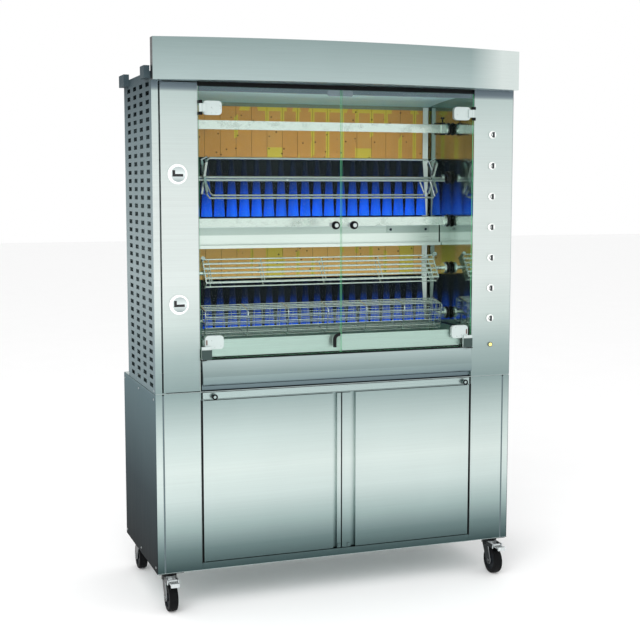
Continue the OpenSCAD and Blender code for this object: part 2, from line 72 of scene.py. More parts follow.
class Graph:
    """One material and short calls for the nodes that it uses."""

    def __init__(self, name):
        self.material = bpy.data.materials.new(name)
        self.material.use_nodes = True
        self.tree = self.material.node_tree
        self.shader = self.tree.nodes["Principled BSDF"]
        self.place = self.add("ShaderNodeTexCoord").outputs["Object"]
        parts = self.add("ShaderNodeSeparateXYZ", Vector=self.place)
        self.x, self.y, self.z = parts.outputs

    def add(self, kind, **inputs):
        node = self.tree.nodes.new(kind)
        for name, value in inputs.items():
            self.put(node.inputs[name.replace("_", " ")], value)
        return node

    def put(self, socket, value):
        if isinstance(value, bpy.types.NodeSocket):
            self.tree.links.new(value, socket)
        else:
            socket.default_value = value

    def math(self, operation, a, b=0.0, clamp=False):
        node = self.add("ShaderNodeMath")
        node.operation = operation
        node.use_clamp = clamp
        self.put(node.inputs[0], a)
        self.put(node.inputs[1], b)
        return node.outputs[0]

    def above(self, value, limit):
        return self.math("GREATER_THAN", value, limit)

    def below(self, value, limit):
        return self.math("LESS_THAN", value, limit)

    def both(self, a, b):
        return self.math("MULTIPLY", a, b)

    def either(self, a, b):
        return self.math("MAXIMUM", a, b)

    def span(self, value, low, high, to_low=0.0, to_high=1.0):
        node = self.add("ShaderNodeMapRange", Value=value)
        node.inputs["From Min"].default_value = low
        node.inputs["From Max"].default_value = high
        node.inputs["To Min"].default_value = to_low
        node.inputs["To Max"].default_value = to_high
        return node.outputs[0]

    def noise(self, scale, stretch=(1, 1, 1), detail=3.0, rough=0.55):
        mapping = self.add("ShaderNodeMapping", Vector=self.place)
        mapping.inputs["Scale"].default_value = stretch
        node = self.add("ShaderNodeTexNoise", Vector=mapping.outputs[0], Scale=scale)
        self.put(node.inputs["Detail"], detail)
        self.put(node.inputs["Roughness"], rough)
        return node.outputs[0]

    def normal(self, axis):
        """One component of the surface's own normal: 0 for x, 1 for y, 2 for z."""
        normal = self.add("ShaderNodeTexCoord").outputs["Normal"]
        return self.add("ShaderNodeSeparateXYZ", Vector=normal).outputs[axis]

    def length(self, a, b):
        """The distance from the origin of a point whose two coordinates are a and b."""
        squares = self.math("ADD", self.math("MULTIPLY", a, a), self.math("MULTIPLY", b, b))
        return self.math("SQRT", squares)

    def from_middle(self, node):
        """The coordinates x, y and z, measured from the middle of a node's box."""
        low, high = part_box(node)
        places = zip((self.x, self.y, self.z), low, high)
        return [self.math("SUBTRACT", value, (a + b) / 2) for value, a, b in places]

    def mix(self, factor, a, b, blend="MIX"):
        node = self.add("ShaderNodeMix")
        node.data_type = "RGBA"
        node.blend_type = blend
        self.put(node.inputs[0], factor)
        self.put(node.inputs[6], a)
        self.put(node.inputs[7], b)
        return node.outputs[2]

    def ramp(self, value, stops, low=0.0, high=1.0):
        """A colour ramp over value, with stops given in value's own units."""
        node = self.add("ShaderNodeValToRGB", Fac=self.span(value, low, high))
        elements = node.color_ramp.elements
        while len(elements) < len(stops):
            elements.new(0.5)
        for element, (position, colour) in zip(elements, stops):
            element.position = (position - low) / (high - low)
            element.color = colour
        return node.outputs[0]

    def bump(self, height, strength, distance):
        node = self.add("ShaderNodeBump", Height=height, Strength=strength, Distance=distance)
        self.put(self.shader.inputs["Normal"], node.outputs[0])

    def set(self, **values):
        for name, value in values.items():
            self.put(self.shader.inputs[name.replace("_", " ")], value)
        return self


# ---------------------------------------------------------------- materials

def brushed_finish(graph, tone, roughness, along="x", depth=0.12):
    """Adds a brushed grain to a metal: fine streaks in colour, roughness and bump."""
    stretch = {"x": (3, 40, 420), "z": (420, 420, 3), "y": (40, 3, 420)}[along]
    streaks = graph.noise(1.0, stretch, detail=4.0)
    clouds = graph.noise(2.2, detail=2.0)
    light = graph.span(streaks, 0.3, 0.7, 1.0 - depth, 1.0 + 0.35 * depth)
    light = graph.math("MULTIPLY", light, graph.span(clouds, 0.3, 0.7, 0.97, 1.02))
    shade = graph.add("ShaderNodeCombineColor", Red=light, Green=light, Blue=light).outputs[0]
    graph.set(Base_Color=graph.mix(1.0, tone, shade, "MULTIPLY"), Metallic=1.0, Anisotropic=0.35)
    graph.set(Roughness=graph.span(streaks, 0.3, 0.7, roughness - 0.05, roughness + 0.07))
    graph.bump(streaks, 0.06, 0.0004)


def brushed(name, colour, roughness=0.34, along="x"):
    graph = Graph(name)
    brushed_finish(graph, colour, roughness, along)
    return graph.material


def front_steel(name):
    """Front sheets: a painted reflection of the studio's bright band at mid height of each half, falling
    off to its ends, and a painted shadow band under the canopy.
    """
    graph = Graph(name)
    # Painted reflection: brightest at mid height of each half and darker at its ends; the two stops above
    # 1.825 m are a painted shadow under the canopy.
    tone = graph.ramp(graph.z, [
        (0.140, srgb(62, 80, 81)),
        (0.215, srgb(106, 126, 126)),
        (0.300, srgb(158, 177, 175)),
        (0.400, srgb(196, 210, 207)),
        (0.500, srgb(206, 218, 214)),
        (0.620, srgb(188, 203, 200)),
        (0.775, srgb(140, 159, 158)),
        (0.785, srgb(136, 155, 154)),
        (0.900, srgb(162, 180, 178)),
        (1.020, srgb(202, 215, 211)),
        (1.160, srgb(220, 229, 226)),
        (1.450, srgb(220, 229, 226)),
        (1.700, srgb(207, 220, 217)),
        (1.822, srgb(190, 206, 203)),
        (1.828, srgb(116, 130, 138)),
        (1.856, srgb(98, 110, 118)),
    ], 0.1, 2.1)
    brushed_finish(graph, tone, 0.36, depth=0.05)
    return graph.material


def canopy_steel(name):
    """Canopy: greyer towards the top, with a painted highlight at its right end and painted shade on its
    end faces.
    """
    graph = Graph(name)
    height = graph.ramp(graph.z, [
        (1.854, srgb(180, 198, 197)),
        (1.995, srgb(150, 169, 168)),
    ], 1.85, 2.0)
    # Painted highlight: the canopy's right end is lightened.
    right_end_painted_highlight = graph.span(graph.x, 0.47, 0.61)
    tone = graph.mix(right_end_painted_highlight, height, srgb(220, 230, 227))
    # Painted shade: faces turned sideways are made nearly black.
    end = graph.above(graph.math("ABSOLUTE", graph.normal(0)), 0.7)
    tone = graph.mix(end, tone, srgb(26, 31, 33))
    brushed_finish(graph, tone, 0.33, depth=0.05)
    return graph.material


def apron_steel(name):
    """Apron: leaning forward, with painted shade darkening it towards its rolled lower edge and a painted
    black shadow line below the roll.
    """
    graph = Graph(name)
    # Painted shade: a black shadow line below the roll, then grey that lightens towards the apron's top.
    tone = graph.ramp(graph.z, [
        (0.7840, srgb(22, 26, 28)),
        (0.7850, srgb(100, 117, 122)),
        (0.8005, srgb(110, 127, 132)),
        (0.8065, srgb(120, 138, 141)),
        (0.8150, srgb(130, 149, 150)),
        (0.8450, srgb(148, 167, 166)),
        (0.8900, srgb(178, 196, 195)),
    ], 0.78, 0.90)
    brushed_finish(graph, tone, 0.34, depth=0.05)
    return graph.material


def side_steel(name):
    """Side sheets: dull steel in the shade, with painted shade darkening them towards the floor and
    towards the top.
    """
    graph = Graph(name)
    # Painted shade: darkest at the floor, lightest near mid height, darker again at the top.
    tone = graph.ramp(graph.z, [
        (0.140, srgb(12, 20, 23)),
        (0.400, srgb(40, 54, 59)),
        (0.770, srgb(86, 106, 111)),
        (0.790, srgb(112, 128, 132)),
        (1.200, srgb(144, 158, 160)),
        (1.500, srgb(126, 141, 144)),
        (1.700, srgb(102, 117, 121)),
        (1.880, srgb(62, 75, 80)),
    ], 0.1, 2.1)
    brushed_finish(graph, tone, 0.5, along="z", depth=0.06)
    graph.set(Metallic=0.15, Specular_IOR_Level=0.02)
    return graph.material


def liner_steel(name):
    """Oven lining: mirror-like walls under a dull, heat-stained roof, with painted shade darkening the
    roof towards the back.
    """
    graph = Graph(name)
    level = graph.above(graph.math("ABSOLUTE", graph.normal(2)), 0.5)
    roof = graph.both(level, graph.above(graph.z, 1.5))
    smears = graph.noise(5.0, (1, 1, 0.4), detail=4.0)
    # Painted shade: the roof grows darker from the front towards the bricks.
    dull = graph.ramp(graph.y, [
        (FRONT_Y, srgb(206, 244, 246)),
        (BRICK_Y, srgb(168, 214, 216)),
    ], -0.3, 0.3)
    wall = graph.mix(graph.span(smears, 0.4, 0.7), srgb(176, 192, 186), srgb(140, 157, 149))
    graph.set(Base_Color=graph.mix(roof, wall, dull), Metallic=graph.span(roof, 0, 1, 1.0, 0.15))
    bright = graph.span(smears, 0.3, 0.8, 0.07, 0.17)
    graph.set(Roughness=graph.math("MAXIMUM", bright, graph.math("MULTIPLY", roof, 0.55)))
    graph.bump(graph.noise(1.0, (3, 40, 300)), 0.03, 0.0003)
    return graph.material


def lintel_steel(name):
    """Lintel: painted black as shade in the gap under the canopy, grey below it, with a lighter catch
    plate.
    """
    graph = Graph(name)
    # Painted shade: above 1.84 m the lintel is black, standing for the shaded gap under the canopy.
    tone = graph.ramp(graph.z, [
        (1.838, srgb(92, 106, 114)),
        (1.841, srgb(10, 12, 13)),
    ], 1.8, 1.9)
    plate = graph.both(graph.below(graph.y, FRONT_Y + 0.0103), graph.below(graph.z, 1.8385))
    smears = graph.noise(8.0)
    graph.set(Base_Color=graph.mix(plate, tone, srgb(116, 128, 136)), Specular_IOR_Level=0.15)
    graph.set(Roughness=graph.span(smears, 0.3, 0.7, 0.45, 0.6))
    graph.bump(smears, 0.03, 0.0003)
    return graph.material


def housing_steel(name):
    """Middle housing: a band of painted shade behind the bracket, under the third spit, and the bracket
    itself a shade darker.
    """
    graph = Graph(name)
    # Painted shade: the band from 1.318 to 1.344 m, under the third spit, is darker.
    tone = graph.ramp(graph.z, [
        (1.316, srgb(226, 241, 233)),
        (1.318, srgb(184, 204, 195)),
        (1.344, srgb(184, 204, 195)),
        (1.346, srgb(220, 237, 229)),
    ], 1.2, 1.4)
    upper = graph.above(graph.z, 1.30)
    bracket = graph.both(graph.below(graph.y, FRONT_Y + 0.2885), upper)
    screw = graph.both(graph.below(graph.y, FRONT_Y + 0.2866), upper)
    tone = graph.mix(bracket, tone, srgb(168, 188, 180))
    tone = graph.mix(screw, tone, srgb(46, 56, 66))
    brushed_finish(graph, tone, 0.32, depth=0.03)
    return graph.material


def plain(name, colour, roughness, metallic=0.0, grain=60.0, depth=0.08, specular=0.5):
    """A smooth coated or moulded surface with a faint mottling."""
    graph = Graph(name)
    spots = graph.noise(grain, detail=2.0)
    darker = tuple(c * (1.0 - depth) for c in colour[:3]) + (1.0,)
    graph.set(Base_Color=graph.mix(spots, darker, colour), Metallic=metallic)
    graph.set(Specular_IOR_Level=specular)
    graph.set(Roughness=graph.span(spots, 0.2, 0.8, roughness - 0.05, roughness + 0.05))
    graph.bump(spots, 0.05, 0.0003)
    return graph.material


def spit_steel(name, height, forked):
    """Worn polished rods; the ears of the forks near the driven end are black."""
    graph = Graph(name)
    stains = graph.noise(35.0, detail=5.0)
    tone = graph.mix(graph.span(stains, 0.5, 0.8), srgb(208, 225, 216), srgb(178, 194, 185))
    if forked:
        off_axis = graph.math("ABSOLUTE", graph.math("SUBTRACT", graph.z, height))
        fork = graph.both(graph.above(off_axis, 0.0167), graph.above(graph.x, 0.45))
        fork = graph.both(fork, graph.below(graph.x, 0.4980))
        tone = graph.mix(fork, tone, srgb(26, 27, 28))
    graph.set(Base_Color=tone, Metallic=0.9, Roughness=graph.span(stains, 0.3, 0.8, 0.16, 0.34))
    graph.bump(stains, 0.05, 0.0003)
    return graph.material


def fire_brick(name):
    """Orange fire bricks, each in its own tone, with yellow-green fired patches and dark pits; the lower
    row is painted lighter.
    """
    graph = Graph(name)
    place = graph.math("DIVIDE", graph.math("ADD", graph.x, WINDOW - 0.002), BRICK_PITCH)
    number = graph.math("FLOOR", place)
    within = graph.math("SUBTRACT", place, number)
    row = graph.above(graph.z, 1.4)
    seed = graph.math("ADD", number, graph.math("MULTIPLY", row, 31.0))
    luck = graph.add("ShaderNodeTexWhiteNoise")
    luck.noise_dimensions = "1D"
    graph.put(luck.inputs["W"], seed)
    lucky = luck.outputs["Value"]
    body = graph.ramp(lucky, [
        (0.00, srgb(186, 136, 70)),
        (0.35, srgb(200, 150, 80)),
        (0.70, srgb(190, 142, 78)),
        (1.00, srgb(204, 158, 84)),
    ])
    clouds = graph.noise(18.0, detail=5.0)
    body = graph.mix(graph.span(clouds, 0.35, 0.75), body, srgb(206, 152, 76))
    # Painted light: the lower row is lightened against the shade that falls on it under the middle tray.
    body = graph.mix(graph.span(row, 0, 1, 0.55, 0.0), body, srgb(244, 204, 118))
    edge = graph.math("ABSOLUTE", graph.math("SUBTRACT", within, 0.5))
    patchy = graph.noise(9.0, (1, 1, 0.5), detail=1.0)
    joint = graph.both(graph.above(edge, 0.38), graph.above(patchy, 0.51))
    top = graph.both(graph.above(graph.z, 1.786), graph.above(patchy, 0.50))
    foot = graph.both(graph.below(graph.z, 1.648), graph.above(lucky, 0.66))
    foot = graph.both(graph.both(foot, row), graph.below(edge, 0.49))
    whole = graph.both(graph.above(lucky, 0.9), graph.math("SUBTRACT", 1.0, row))
    glaze = graph.either(graph.either(joint, top), graph.either(foot, whole))
    body = graph.mix(graph.math("MULTIPLY", glaze, 0.7), body, srgb(206, 200, 66))
    seam = graph.above(edge, 0.488)
    body = graph.mix(graph.math("MULTIPLY", seam, 0.5), body, srgb(96, 72, 36))
    pits = graph.add("ShaderNodeTexVoronoi", Vector=graph.place, Scale=34.0)
    pit = graph.below(pits.outputs["Distance"], 0.12)
    body = graph.mix(graph.math("MULTIPLY", pit, 0.85), body, srgb(66, 48, 26))
    graph.set(Base_Color=body, Roughness=0.85)
    graph.bump(graph.noise(120.0, detail=4.0), 0.25, 0.001)
    return graph.material


def flame_blue(name):
    """Fluted burner plates with the gas flames' light painted on: bright blue at the foot of each flute,
    fading to black at the top, and glowing.
    """
    graph = Graph(name)
    flute = graph.below(graph.y, BRICK_Y - 0.0004)
    upper = graph.above(graph.z, 1.3)
    height = graph.math("SUBTRACT", graph.z, graph.span(upper, 0, 1, FLUTE_FEET[1], FLUTE_FEET[0]))
    # Painted flame light: blue glow rising from the foot of each flute.
    glow = graph.ramp(height, [
        (0.000, srgb(30, 108, 240)),
        (0.030, srgb(22, 90, 226)),
        (0.085, srgb(18, 62, 164)),
        (0.125, srgb(18, 46, 112)),
        (0.160, srgb(12, 20, 38)),
        (0.228, srgb(13, 19, 20)),
    ], 0.0, 0.23)
    wisps = graph.noise(30.0, (1, 1, 0.12), detail=2.0)
    glow = graph.mix(graph.span(wisps, 0.35, 0.75, 0.0, 0.35), glow, srgb(10, 22, 60))
    colour = graph.mix(flute, srgb(8, 13, 18), glow)
    graph.set(Base_Color=colour, Roughness=0.6, Specular_IOR_Level=0.08)
    # The painted flame colour also glows from the plates.
    graph.set(Emission_Color=colour, Emission_Strength=0.5)
    graph.bump(wisps, 0.1, 0.0005)
    return graph.material


def glass(name):
    """Clear glass with green cut edges."""
    graph = Graph(name)
    face = graph.above(graph.math("ABSOLUTE", graph.normal(1)), 0.5)
    smears = graph.noise(3.0, (1, 1, 0.4), detail=2.0)
    colour = graph.mix(face, srgb(110, 204, 148), srgb(200, 232, 216))
    graph.set(Base_Color=colour, Roughness=0.04, Specular_IOR_Level=0.25)
    clear = graph.both(face, graph.span(smears, 0.3, 0.7, 0.798, 0.794))
    graph.set(Alpha=graph.math("SUBTRACT", 0.8, clear))
    return graph.material


def knob_face(name, node):
    """White knob with a dark grip bar, a painted shade arc beside it and a dark foot ring."""
    graph = Graph(name)
    dx, _, dz = graph.from_middle(node)
    radius = graph.length(dx, dz)
    bar = graph.below(graph.y, FRONT_Y - 0.0094)
    foot = graph.above(graph.y, FRONT_Y - 0.0012)
    # Painted shade: a dark arc on the left side of the grip bar.
    grip_painted_shade_arc = graph.both(graph.above(radius, 0.0062), graph.below(radius, 0.0086))
    grip_painted_shade_arc = graph.both(grip_painted_shade_arc, graph.below(dx, -0.0030))
    dark = graph.either(graph.either(bar, foot), grip_painted_shade_arc)
    colour = graph.mix(dark, srgb(240, 244, 241), srgb(38, 42, 46))
    scuffs = graph.noise(90.0)
    graph.set(Base_Color=colour, Roughness=graph.span(scuffs, 0.3, 0.7, 0.22, 0.34))
    graph.bump(scuffs, 0.03, 0.0002)
    return graph.material


def latch_face(name, node):
    """A white ring round a grey dish with painted shade, lightest across its middle, whose L-shaped finger
    recess is black.
    """
    graph = Graph(name)
    dx, _, dz = graph.from_middle(node)
    radius = graph.length(dx, dz)
    # Painted shade: the dish is lightest across its middle and darker towards its lower and upper edges.
    dish = graph.ramp(dz, [
        (-0.026, srgb(128, 140, 141)),
        (0.000, srgb(196, 205, 204)),
        (0.026, srgb(150, 161, 161)),
    ], -0.04, 0.04)
    disc = graph.mix(graph.above(radius, 0.0265), dish, srgb(238, 242, 240))
    recess = graph.above(graph.y, FRONT_Y - 0.0046)
    rim = graph.above(graph.y, FRONT_Y - 0.0012)
    scuffs = graph.noise(70.0)
    colour = graph.mix(graph.both(recess, graph.below(radius, 0.0335)), disc, srgb(22, 24, 26))
    graph.set(Base_Color=graph.mix(rim, colour, srgb(96, 104, 106)))
    graph.set(Roughness=graph.span(scuffs, 0.3, 0.7, 0.25, 0.4))
    graph.bump(scuffs, 0.03, 0.0002)
    return graph.material


def wheel_face(name, node):
    """Black tyre around a grey moulded hub, told apart by the distance from the axle."""
    graph = Graph(name)
    _, dy, dz = graph.from_middle(node)
    hub = graph.below(graph.length(dy, dz), 0.0362)
    scuffs = graph.noise(80.0, detail=4.0)
    tyre = graph.mix(scuffs, srgb(3, 4, 5), srgb(13, 14, 16))
    graph.set(Base_Color=graph.mix(hub, tyre, srgb(34, 38, 42)), Specular_IOR_Level=0.12)
    graph.set(Roughness=graph.span(scuffs, 0.3, 0.7, 0.5, 0.72))
    graph.bump(scuffs, 0.15, 0.0005)
    return graph.material


def fork_metal(name):
    """Caster forks: bright zinc in front and on top, with the flanks painted black as shade."""
    graph = Graph(name)
    spots = graph.noise(40.0, detail=2.0)
    # Painted shade: faces turned sideways are made black.
    flank_painted_shade = graph.above(graph.math("ABSOLUTE", graph.normal(0)), 0.6)
    zinc = graph.mix(spots, srgb(176, 184, 187), srgb(226, 231, 232))
    graph.set(Base_Color=graph.mix(flank_painted_shade, zinc, srgb(18, 21, 23)))
    graph.set(Metallic=graph.span(flank_painted_shade, 0, 1, 0.8, 0.0), Specular_IOR_Level=0.3)
    graph.set(Roughness=graph.span(spots, 0.2, 0.8, 0.25, 0.4))
    graph.bump(spots, 0.05, 0.0003)
    return graph.material


def lamp_amber(name, node):
    """Pilot lamp: a ribbed amber lens inside a dark ring."""
    graph = Graph(name)
    dx, _, dz = graph.from_middle(node)
    low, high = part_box(node)
    ring = graph.above(graph.length(dx, dz), 0.36 * (high[0] - low[0]))
    ribs = graph.noise(200.0)
    lens = graph.mix(ribs, srgb(250, 226, 96), srgb(255, 242, 160))
    colour = graph.mix(ring, lens, srgb(70, 74, 66))
    graph.set(Base_Color=colour, Roughness=graph.span(ribs, 0.3, 0.7, 0.15, 0.25))
    graph.set(Emission_Color=colour, Emission_Strength=0.3)
    return graph.material


MATERIALS = {
    "front": front_steel("front_steel"),
    "canopy": canopy_steel("canopy_steel"),
    "apron": apron_steel("apron_steel"),
    "side": side_steel("side_steel"),
    "sheet": brushed("sheet_steel", srgb(176, 190, 189)),
    "polished": liner_steel("polished_steel"),
    "tray": brushed("tray_steel", srgb(172, 198, 188), 0.34),
    "housing": housing_steel("housing_steel"),
    "shelf": brushed("shelf_steel", srgb(168, 186, 184), 0.28),
    "dark": lintel_steel("dark_trim"),
    "black": plain("black_satin", srgb(14, 15, 17), 0.4, specular=0.15),
    "shoe": plain("pivot_grey", srgb(38, 58, 55), 0.5),
    "chrome": plain("satin_chrome", srgb(186, 198, 196), 0.3, metallic=0.3),
    "slot": plain("slot_brown", srgb(92, 66, 56), 0.6),
    "zinc": plain("zinc_plate", srgb(190, 196, 198), 0.3, metallic=0.9, grain=40.0, depth=0.2),
    "pedal": plain("pedal_zinc", srgb(214, 220, 221), 0.25, metallic=0.7, grain=40.0, depth=0.25),
    "seam": plain("seam_grey", srgb(84, 100, 104), 0.5),
    "motor": plain("motor_paint", srgb(70, 76, 80), 0.6),
    "burner": plain("burner_steel", srgb(120, 122, 118), 0.5, metallic=0.8, depth=0.3),
    "brass": plain("brass", srgb(190, 150, 80), 0.3, metallic=1.0, depth=0.2),
    "brick": fire_brick("fire_brick"),
    "flame": flame_blue("burner_painted_flame_glow"),
    "glass": glass("door_glass"),
    "fork": fork_metal("fork_metal"),
    "lamp": lamp_amber("pilot_amber", "pilot_lamp"),
    "wire": plain("basket_wire", srgb(186, 200, 196), 0.3, metallic=0.85),
    "rod": plain("clamp_rod", srgb(176, 190, 184), 0.24, metallic=0.9, grain=30.0, depth=0.2),
    "upright": plain("upright_steel", srgb(196, 212, 206), 0.35, metallic=0.8),
    "tail": plain("roof_tail_steel", srgb(112, 128, 108), 0.6),
}

NODE_MATERIALS = {
    "base_shell": "side", "base_floor": "sheet", "base_front": "front", "deck": "sheet",
    "pull_shelf": "shelf", "base_door_left": "front", "base_door_right": "front",
    "oven_liner": "polished", "corner_strip": "front", "access_door": "front",
    "control_panel": "front",
    "switch_bodies": "black", "pilot_lamp": "lamp", "side_covers": "side", "rear_cover": "side",
    "top_cover": "sheet", "lintel": "dark", "canopy": "canopy", "apron": "apron",
    "fire_bricks": "brick", "burner_plates": "flame", "burner_tubes": "burner",
    "mid_tray": "housing", "drip_tray": "tray", "spit_bearings": "black", "spit_motors": "motor",
    "glass_left": "glass", "glass_right": "glass", "fittings_left": "chrome",
    "fittings_right": "chrome", "hinge_blocks": "black", "screws": "zinc", "door_hook": "black",
    "caster_plates": "black", "fork_fl": "fork", "fork_fr": "fork", "fork_rl": "fork",
    "fork_rr": "fork", "pedal_fl": "pedal", "pedal_fr": "pedal", "gas_inlet": "brass",
    "cable_gland": "black",
}


def dress(name, material):
    """Gives a CAD node its material."""
    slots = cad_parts[name].data.materials
    slots.clear()
    slots.append(material)


def dress_nodes():
    """Materials for all CAD nodes; knobs, latches, spits and wheels get one each, set from their place."""
    for name, key in NODE_MATERIALS.items():
        dress(name, MATERIALS[key])
    for name in ("latch_upper", "latch_lower"):
        dress(name, latch_face(f"{name}_face", name))
    for number in range(1, 8):
        name = f"knob_{number}"
        dress(name, knob_face(f"{name}_face", name))
    for number, height in enumerate(SPIT_Z, 1):
        name = f"spit_{number}"
        dress(name, spit_steel(f"{name}_steel", height, number in FORKED_SPITS))
    for corner in ("fl", "fr", "rl", "rr"):
        name = f"wheel_{corner}"
        dress(name, wheel_face(f"{name}_rubber", name))


# ---------------------------------------------------------------- piece builders

def finish_piece(mesh, name, body, material, smooth=False):
    """Turns a bmesh into a named piece that rides on a body."""
    bmesh.ops.recalc_face_normals(mesh, faces=mesh.faces)
    data = bpy.data.meshes.new(name)
    mesh.to_mesh(data)
    mesh.free()
    for polygon in data.polygons:
        polygon.use_smooth = smooth
    data.materials.append(material)
    piece = bpy.data.objects.new(name, data)
    bpy.context.collection.objects.link(piece)
    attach(piece, body)
    return piece


def add_prism(mesh, profile, axis_from, axis_to):
    """A closed prism: profile points (3D) swept from one offset to another."""
    near = [mesh.verts.new(Vector(p) + Vector(axis_from)) for p in profile]
    far = [mesh.verts.new(Vector(p) + Vector(axis_to)) for p in profile]
    mesh.faces.new(near)
    mesh.faces.new(reversed(far))
    for i in range(len(profile)):
        j = (i + 1) % len(profile)
        mesh.faces.new((near[i], near[j], far[j], far[i]))


def add_plate(mesh, x, y, z):
    """A thin flat strip, given by its extent along each axis."""
    outline = [(x[0], y[0], 0), (x[1], y[0], 0), (x[1], y[1], 0), (x[0], y[1], 0)]
    add_prism(mesh, outline, (0, 0, z[0]), (0, 0, z[1]))


def add_tube(mesh, points, radius, sides=6, closed=False):
    """A round bar along points; a closed one joins its ends."""
    points = [Vector(p) for p in points]
    extents = [max(p[k] for p in points) - min(p[k] for p in points) for k in range(3)]
    flat = extents.index(min(extents))
    reference = Vector([1.0 if k == flat else 0.0 for k in range(3)])
    rings = []
    count = len(points)
    for i, point in enumerate(points):
        before = points[i - 1] if (i or closed) else point
        after = points[(i + 1) % count] if (i < count - 1 or closed) else point
        along = (after - before).normalized()
        side = along.cross(reference).normalized()
        up = side.cross(along)
        rings.append([mesh.verts.new(point + radius * (math.cos(a) * side + math.sin(a) * up))
                      for a in (2 * math.pi * k / sides for k in range(sides))])
    for i in range(count if closed else count - 1):
        low, high = rings[i], rings[(i + 1) % count]
        for k in range(sides):
            n = (k + 1) % sides
            mesh.faces.new((low[k], low[n], high[n], high[k]))
    if not closed:
        mesh.faces.new(rings[0])
        mesh.faces.new(reversed(rings[-1]))


def add_lathe(mesh, profile, origin, axis, sides=32):
    """A closed turned shape; profile is a loop of (distance along axis, radius above zero)."""
    turn = Vector((0, 0, 1)).rotation_difference(Vector(axis)).to_matrix()
    origin = Vector(origin)
    angles = [2 * math.pi * k / sides for k in range(sides)]
    rings = []
    for along, radius in profile:
        circle = [Vector((radius * math.cos(a), radius * math.sin(a), along)) for a in angles]
        rings.append([mesh.verts.new(origin + turn @ point) for point in circle])
    for i in range(len(rings)):
        low, high = rings[i], rings[(i + 1) % len(rings)]
        for k in range(sides):
            n = (k + 1) % sides
            mesh.faces.new((low[k], low[n], high[n], high[k]))


# ---------------------------------------------------------------- fine pieces

def basket_mesh():
    """The fine wire mesh around the lowest basket's frame."""
    mesh = bmesh.new()
    half, corner, wire = 0.0495, 0.012, 0.0006
    tilt = math.radians(12)
    turn = Matrix.Rotation(tilt, 3, "X")
    centre = Vector((0, SPIT_Y, SPIT_Z[4]))

    outline = []
    for cy, cz, start in ((1, 1, 0), (-1, 1, 90), (-1, -1, 180), (1, -1, 270)):
        for step in range(4):
            a = math.radians(start + 30 * step)
            outline.append(turn @ Vector((0, cy * (half - corner) + corner * math.cos(a),
                                          cz * (half - corner) + corner * math.sin(a))))
    for k in range(32):
        x = -0.464 + 0.0299 * k
        add_tube(mesh, [centre + p + Vector((x, 0, 0)) for p in outline], wire, 4, closed=True)
    for side in range(4):
        lean = Matrix.Rotation(tilt + side * math.pi / 2, 3, "X")
        # Front and back have nine long wires each, top and bottom three.
        for k in range(-4, 5, 1 if side % 2 else 4):
            offset = lean @ Vector((0, 0.0088 * k, half + wire))
            add_tube(mesh, [centre + offset + Vector((x, 0, 0)) for x in (-0.469, 0.469)], wire, 4)
    finish_piece(mesh, "basket_mesh", "spit_5", MATERIALS["wire"])


def couplings():
    """Black drive couplings over the spits' right ends."""
    profile = [(0.5130, 0.0060), (0.5130, 0.0205), (0.5150, 0.0240), (0.5200, 0.0240),
               (0.5220, 0.0180), (0.5262, 0.0170), (0.5262, 0.0060)]
    for number, height in enumerate(SPIT_Z, 1):
        mesh = bmesh.new()
        add_lathe(mesh, profile, (0, SPIT_Y, height), (1, 0, 0))
        finish_piece(mesh, f"coupling_{number}", f"spit_{number}",
                     MATERIALS["black"], smooth=True)


def clamp_wires():
    """The clamp spit's bent rods, crossed end arms and thumb screws, in place of its solid."""
    mesh = bmesh.new()
    axis = Vector((0, SPIT_Y, SPIT_Z[1]))
    rods = [
        (0.0046, [(-0.500, -0.0065, -0.012), (0.500, -0.0065, -0.012)]),
        (0.0046, [(-0.500, 0.0065, -0.002), (0.500, 0.0065, -0.002)]),
        (0.0040, [(-0.462, 0, 0.022), (-0.446, 0, 0.058), (-0.436, 0, 0.067),
                  (0.428, 0, 0.067), (0.438, 0, 0.058), (0.458, 0, 0.016)]),
        (0.0037, [(-0.462, -0.0065, -0.020), (-0.446, -0.0065, -0.066), (-0.438, -0.0065, -0.077),
                  (0.452, -0.0065, -0.077), (0.459, -0.0065, -0.070), (0.440, -0.0065, -0.014)]),
        (0.0034, [(-0.450, 0.0065, -0.016), (-0.432, 0.0065, -0.058), (-0.424, 0.0065, -0.067),
                  (0.416, 0.0065, -0.067), (0.421, 0.0065, -0.060), (0.400, 0.0065, -0.012)]),
    ]
    for radius, points in rods:
        add_tube(mesh, [axis + Vector(p) for p in points], radius, 10)

    arm = [(0, -0.008, -0.070), (0, 0.008, -0.070), (0, 0.008, 0.066), (0, -0.008, 0.066)]
    screw = [(0.000, 0.0030), (0.000, 0.0075), (0.012, 0.0075), (0.013, 0.0035),
             (0.017, 0.0035), (0.018, 0.0080), (0.022, 0.0080), (0.023, 0.0030)]
    for x in (-0.456, 0.452):
        for lean in (-32, 32):
            turn = Matrix.Rotation(math.radians(lean), 3, "X")
            outline = [axis + turn @ Vector(p) for p in arm]
            add_prism(mesh, outline, (x - 0.0045, 0, 0), (x + 0.0035, 0, 0))
        add_lathe(mesh, screw, axis + Vector((x, 0, -0.002)), (0, 0, 1), 16)
        wing = [axis + Vector((x - 0.012, 0, 0.060)), axis + Vector((x + 0.012, 0, 0.072))]
        add_tube(mesh, wing, 0.0034, 10)

    collar = [(0.488, 0.004), (0.488, 0.0125), (0.4985, 0.0125), (0.4985, 0.004)]
    journal = [(-0.530, 0.0020), (-0.530, 0.0055), (-0.512, 0.0055),
               (-0.511, 0.0095), (-0.500, 0.0095), (-0.500, 0.0020)]
    for profile in (collar, journal):
        add_lathe(mesh, profile, axis, (1, 0, 0), 20)
    piece = finish_piece(mesh, "clamp_spit_wires", "spit_2", MATERIALS["rod"])
    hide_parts("spit_2")


